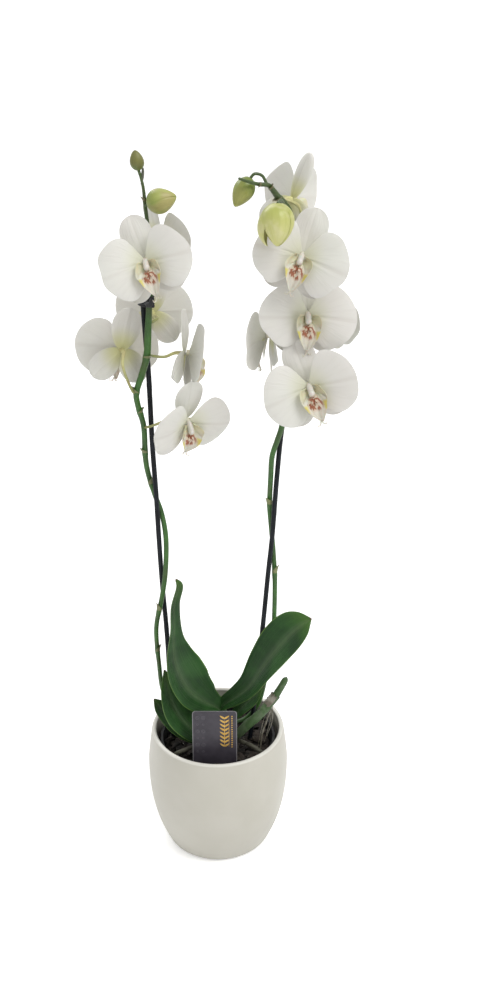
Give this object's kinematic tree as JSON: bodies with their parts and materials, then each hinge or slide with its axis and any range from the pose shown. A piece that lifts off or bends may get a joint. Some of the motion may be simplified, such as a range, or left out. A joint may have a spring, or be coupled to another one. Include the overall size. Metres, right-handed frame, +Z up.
{
  "type": "potted moth orchid",
  "caption": "White moth orchid with arching flower spikes tied to stakes, strap leaves and a blank label, growing in a plastic tub inside a rounded cream ceramic cover pot.",
  "frame": {"origin": "centre of the cover pot's flat foot, on the surface it stands on", "axes": "+Z up along the pot's axis; the flowers face -Y; +X is to the right seen from the front"},
  "size_m": [0.2424, 0.1431, 0.679],
  "materials": {
    "cover_pot_glaze": "satin",
    "nursery_pot_plastic": "matte",
    "bark": "matte",
    "label_card": "satin",
    "stake": "satin",
    "clip": "satin",
    "stem": "satin",
    "root": "matte",
    "dry_root": "matte",
    "leaf": "satin",
    "bud": "satin",
    "sepal": "matte",
    "petal": "matte",
    "lip": "matte"
  },
  "bodies": {
    "root": {"cover_pot": "cover_pot_glaze", "nursery_pot": "nursery_pot_plastic", "growing_medium": "bark", "plant_label": "label_card", "stake_left": "stake", "stake_right": "stake", "clip_left": "clip", "clip_right": "clip", "crown": "stem", "spike_left": "stem", "spike_right": "stem", "root_green": "root", "root_dry": "dry_root", "leaf_upper_left": "leaf", "leaf_upper_right": "leaf", "leaf_lower_left": "leaf", "leaf_lowest_left": "leaf", "leaf_lower_right": "leaf", "bud_left_tip": "bud", "bud_left_side": "bud", "bud_right_small": "bud", "bud_right_open": "bud", "flower_left_1_sepals": "sepal", "flower_left_1_petals": "petal", "flower_left_1_lip": "lip", "flower_left_2_sepals": "sepal", "flower_left_2_petals": "petal", "flower_left_2_lip": "lip", "flower_left_3_sepals": "sepal", "flower_left_3_petals": "petal", "flower_left_3_lip": "lip", "flower_left_4_sepals": "sepal", "flower_left_4_petals": "petal", "flower_left_4_lip": "lip", "flower_left_5_sepals": "sepal", "flower_left_5_petals": "petal", "flower_left_5_lip": "lip", "flower_left_6_sepals": "sepal", "flower_left_6_petals": "petal", "flower_left_6_lip": "lip", "flower_right_1_sepals": "sepal", "flower_right_1_petals": "petal", "flower_right_1_lip": "lip", "flower_right_2_sepals": "sepal", "flower_right_2_petals": "petal", "flower_right_2_lip": "lip", "flower_right_3_sepals": "sepal", "flower_right_3_petals": "petal", "flower_right_3_lip": "lip", "flower_right_4_sepals": "sepal", "flower_right_4_petals": "petal", "flower_right_4_lip": "lip", "flower_right_5_sepals": "sepal", "flower_right_5_petals": "petal", "flower_right_5_lip": "lip", "flower_right_6_sepals": "sepal", "flower_right_6_petals": "petal", "flower_right_6_lip": "lip"}
  },
  "joints": []
}
